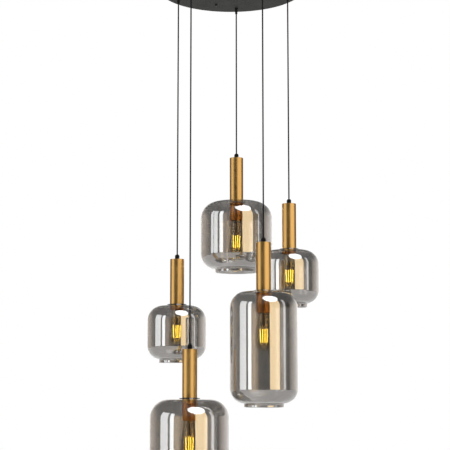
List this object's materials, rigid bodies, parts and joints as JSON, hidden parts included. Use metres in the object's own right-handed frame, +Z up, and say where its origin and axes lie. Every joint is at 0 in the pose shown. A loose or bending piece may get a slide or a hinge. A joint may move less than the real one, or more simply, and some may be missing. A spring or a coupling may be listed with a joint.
{
  "type": "cluster pendant",
  "caption": "Cluster pendant: a round canopy with smoked-glass shades on cords, each below a slim metal sleeve with a screw-in filament bulb.",
  "frame": {"origin": "centre of the ceiling bracket's screw circle, which is the canopy's centre, on the ceiling plane", "axes": "+Z up into the ceiling, +Y from the canopy's centre towards the rear cord, X to the right as seen from the front"},
  "size_m": [0.4914, 0.5195, 1.411],
  "materials": {
    "canopy_black": "matt charcoal black",
    "zinc_steel": "zinc plated",
    "nut_black": "satin black",
    "black_plastic": "matt black",
    "terminal_plastic": "natural nylon",
    "cord_black": "matt black",
    "gold": "satin brushed gold",
    "holder_black": "matt black",
    "gasket": "soft black",
    "smoked_glass": "smoked, semi-mirrored, clear gloss",
    "bulb_contact": "glossy black glass with a tin contact",
    "bulb_cap": "bright",
    "amber_glass": "amber, clear gloss",
    "filament": "phosphor coated"
  },
  "bodies": {
    "canopy": {"canopy_pan": "canopy_black", "ceiling_bracket": "zinc_steel", "cap_nuts": "nut_black", "strain_reliefs": "black_plastic", "terminal_block": "terminal_plastic"},
    "rear_line": {"rear_cord": "cord_black"},
    "rear_pendant": {"rear_cord_grip": "black_plastic", "rear_upper_sleeve": "gold", "rear_lampholder": "holder_black", "rear_gaskets": "gasket", "rear_lower_sleeve": "gold", "rear_glass_shade": "smoked_glass"},
    "rear_bulb_base": {"rear_bulb_contact": "bulb_contact"},
    "rear_bulb": {"rear_bulb_cap": "bulb_cap", "rear_bulb_glass": "amber_glass", "rear_bulb_filament": "filament"},
    "left_line": {"left_cord": "cord_black"},
    "left_pendant": {"left_cord_grip": "black_plastic", "left_upper_sleeve": "gold", "left_lampholder": "holder_black", "left_gaskets": "gasket", "left_lower_sleeve": "gold", "left_glass_shade": "smoked_glass"},
    "left_bulb_base": {"left_bulb_contact": "bulb_contact"},
    "left_bulb": {"left_bulb_cap": "bulb_cap", "left_bulb_glass": "amber_glass", "left_bulb_filament": "filament"},
    "low_line": {"low_cord": "cord_black"},
    "low_pendant": {"low_cord_grip": "black_plastic", "low_upper_sleeve": "gold", "low_lampholder": "holder_black", "low_gaskets": "gasket", "low_lower_sleeve": "gold", "low_glass_shade": "smoked_glass"},
    "low_bulb_base": {"low_bulb_contact": "bulb_contact"},
    "low_bulb": {"low_bulb_cap": "bulb_cap", "low_bulb_glass": "amber_glass", "low_bulb_filament": "filament"},
    "tall_line": {"tall_cord": "cord_black"},
    "tall_pendant": {"tall_cord_grip": "black_plastic", "tall_upper_sleeve": "gold", "tall_lampholder": "holder_black", "tall_gaskets": "gasket", "tall_lower_sleeve": "gold", "tall_glass_shade": "smoked_glass"},
    "tall_bulb_base": {"tall_bulb_contact": "bulb_contact"},
    "tall_bulb": {"tall_bulb_cap": "bulb_cap", "tall_bulb_glass": "amber_glass", "tall_bulb_filament": "filament"},
    "right_line": {"right_cord": "cord_black"},
    "right_pendant": {"right_cord_grip": "black_plastic", "right_upper_sleeve": "gold", "right_lampholder": "holder_black", "right_gaskets": "gasket", "right_lower_sleeve": "gold", "right_glass_shade": "smoked_glass"},
    "right_bulb_base": {"right_bulb_contact": "bulb_contact"},
    "right_bulb": {"right_bulb_cap": "bulb_cap", "right_bulb_glass": "amber_glass", "right_bulb_filament": "filament"}
  },
  "joints": [
    {"name": "rear_swing", "type": "hinge", "parent": "canopy", "child": "rear_line", "pos_m": [0, 0.17, -0.046], "axis": [1, 0, 0], "range_deg": [0, 12]},
    {"name": "rear_height", "type": "slide", "parent": "rear_line", "child": "rear_pendant", "axis": [0, 0, 1], "range_m": [0, 0.3], "deforming": ["rear_cord"]},
    {"name": "rear_bulb_travel", "type": "slide", "parent": "rear_pendant", "child": "rear_bulb_base", "axis": [0, 0, -1], "range_m": [0, 0.0109]},
    {"name": "rear_bulb_screw", "type": "hinge", "parent": "rear_bulb_base", "child": "rear_bulb", "pos_m": [0, 0.17, -0.682], "axis": [0, 0, -1], "range_deg": [0, 1080]},
    {"name": "left_swing", "type": "hinge", "parent": "canopy", "child": "left_line", "pos_m": [-0.16168, 0.05253, -0.046], "axis": [0.309, 0.9511, 0], "range_deg": [0, 12]},
    {"name": "left_height", "type": "slide", "parent": "left_line", "child": "left_pendant", "axis": [0, 0, 1], "range_m": [0, 0.3], "deforming": ["left_cord"]},
    {"name": "left_bulb_travel", "type": "slide", "parent": "left_pendant", "child": "left_bulb_base", "axis": [0, 0, -1], "range_m": [0, 0.0109]},
    {"name": "left_bulb_screw", "type": "hinge", "parent": "left_bulb_base", "child": "left_bulb", "pos_m": [-0.16168, 0.05253, -0.952], "axis": [0, 0, -1], "range_deg": [0, 1080]},
    {"name": "low_swing", "type": "hinge", "parent": "canopy", "child": "low_line", "pos_m": [-0.09992, -0.13753, -0.046], "axis": [-0.809, 0.5878, 0], "range_deg": [0, 12]},
    {"name": "low_height", "type": "slide", "parent": "low_line", "child": "low_pendant", "axis": [0, 0, 1], "range_m": [0, 0.3], "deforming": ["low_cord"]},
    {"name": "low_bulb_travel", "type": "slide", "parent": "low_pendant", "child": "low_bulb_base", "axis": [0, 0, -1], "range_m": [0, 0.0109]},
    {"name": "low_bulb_screw", "type": "hinge", "parent": "low_bulb_base", "child": "low_bulb", "pos_m": [-0.09992, -0.13753, -1.257], "axis": [0, 0, -1], "range_deg": [0, 1080]},
    {"name": "tall_swing", "type": "hinge", "parent": "canopy", "child": "tall_line", "pos_m": [0.09992, -0.13753, -0.046], "axis": [-0.809, -0.5878, 0], "range_deg": [0, 12]},
    {"name": "tall_height", "type": "slide", "parent": "tall_line", "child": "tall_pendant", "axis": [0, 0, 1], "range_m": [0, 0.3], "deforming": ["tall_cord"]},
    {"name": "tall_bulb_travel", "type": "slide", "parent": "tall_pendant", "child": "tall_bulb_base", "axis": [0, 0, -1], "range_m": [0, 0.0109]},
    {"name": "tall_bulb_screw", "type": "hinge", "parent": "tall_bulb_base", "child": "tall_bulb", "pos_m": [0.09992, -0.13753, -0.97], "axis": [0, 0, -1], "range_deg": [0, 1080]},
    {"name": "right_swing", "type": "hinge", "parent": "canopy", "child": "right_line", "pos_m": [0.16168, 0.05253, -0.046], "axis": [0.309, -0.9511, 0], "range_deg": [0, 12]},
    {"name": "right_height", "type": "slide", "parent": "right_line", "child": "right_pendant", "axis": [0, 0, 1], "range_m": [0, 0.3], "deforming": ["right_cord"]},
    {"name": "right_bulb_travel", "type": "slide", "parent": "right_pendant", "child": "right_bulb_base", "axis": [0, 0, -1], "range_m": [0, 0.0109]},
    {"name": "right_bulb_screw", "type": "hinge", "parent": "right_bulb_base", "child": "right_bulb", "pos_m": [0.16168, 0.05253, -0.795], "axis": [0, 0, -1], "range_deg": [0, 1080]}
  ],
  "couplings": [
    {"joint": "rear_bulb_travel", "follows": "rear_bulb_screw", "m_per_rad": 0.0005775},
    {"joint": "left_bulb_travel", "follows": "left_bulb_screw", "m_per_rad": 0.0005775},
    {"joint": "low_bulb_travel", "follows": "low_bulb_screw", "m_per_rad": 0.0005775},
    {"joint": "tall_bulb_travel", "follows": "tall_bulb_screw", "m_per_rad": 0.0005775},
    {"joint": "right_bulb_travel", "follows": "right_bulb_screw", "m_per_rad": 0.0005775}
  ]
}
